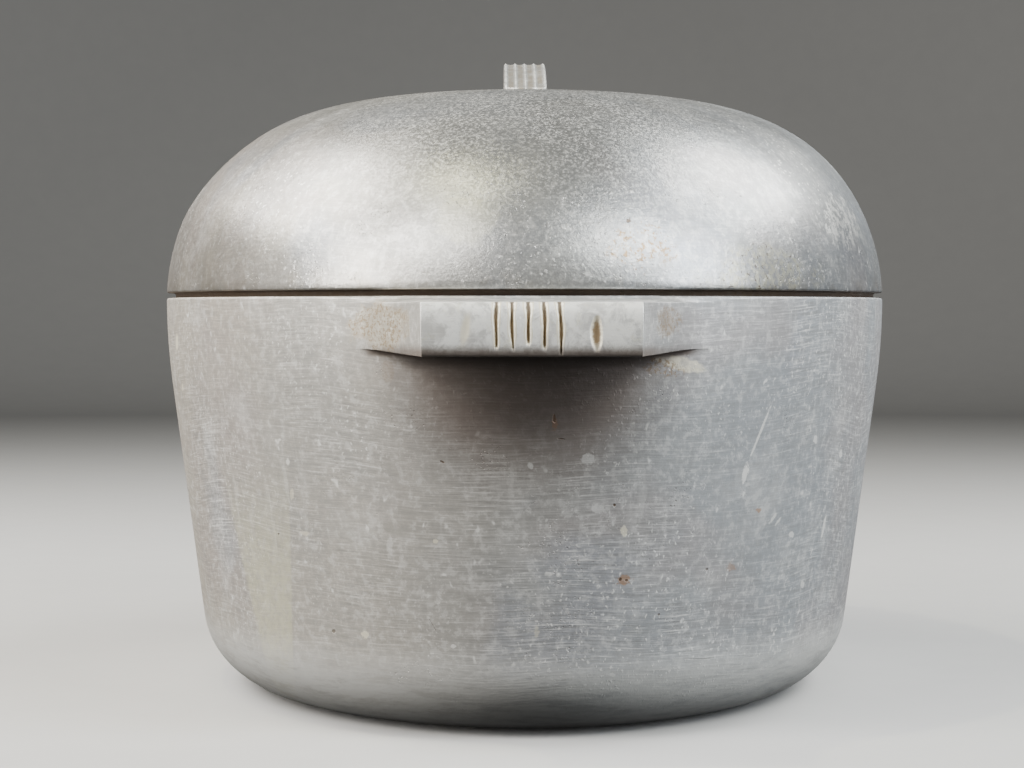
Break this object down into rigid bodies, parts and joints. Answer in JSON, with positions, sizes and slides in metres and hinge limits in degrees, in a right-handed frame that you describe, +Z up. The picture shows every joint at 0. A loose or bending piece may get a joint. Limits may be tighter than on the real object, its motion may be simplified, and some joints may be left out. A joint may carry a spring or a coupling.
{
  "type": "covered roaster",
  "caption": "Deep oval cast pan with cast end handles, domed lid with a bridge handle, and a perforated trivet with folding bails.",
  "frame": {"origin": "centre of the pan's flat base, on the surface it stands on", "axes": "+Z up, +Y along the oval from one end handle to the other, +X across it"},
  "size_m": [0.254, 0.432, 0.2193],
  "materials": {
    "pan_casting": "aged satin, brushed",
    "lid_casting": "aged satin, pitted",
    "handle_casting": "aged satin",
    "steel": "satin",
    "trivet_sheet": "dull satin",
    "rivet": "satin",
    "foot": "satin",
    "wire": "drawn wire",
    "clip": "satin"
  },
  "bodies": {
    "pan": {"pan": "pan_casting"},
    "lid": {"lid": "lid_casting", "lid_handle": "handle_casting", "lid_handle_screws": "steel", "lid_handle_washers": "steel"},
    "trivet": {"trivet_plate": "trivet_sheet", "trivet_foot_rivets": "rivet", "trivet_foot_front_left": "foot", "trivet_foot_front_right": "foot", "trivet_foot_rear_left": "foot", "trivet_foot_rear_right": "foot", "bail_clip_rivets": "rivet", "bail_clip_front_left": "clip", "bail_clip_front_right": "clip", "bail_clip_rear_left": "clip", "bail_clip_rear_right": "clip"},
    "bail_front": {"bail_front": "wire"},
    "bail_rear": {"bail_rear": "wire"}
  },
  "joints": [
    {"name": "lid_lift", "type": "slide", "parent": "pan", "child": "lid", "axis": [0, 0, 1], "range_m": [0, 0.25]},
    {"name": "trivet_lift", "type": "slide", "parent": "pan", "child": "trivet", "axis": [0, 0, 1], "range_m": [0, 0.1]},
    {"name": "bail_front_fold", "type": "hinge", "parent": "trivet", "child": "bail_front", "pos_m": [0, -0.118, 0.02091], "axis": [1, 0, 0], "range_deg": [0, 90]},
    {"name": "bail_rear_fold", "type": "hinge", "parent": "trivet", "child": "bail_rear", "pos_m": [0, 0.118, 0.02091], "axis": [-1, 0, 0], "range_deg": [0, 90]}
  ]
}
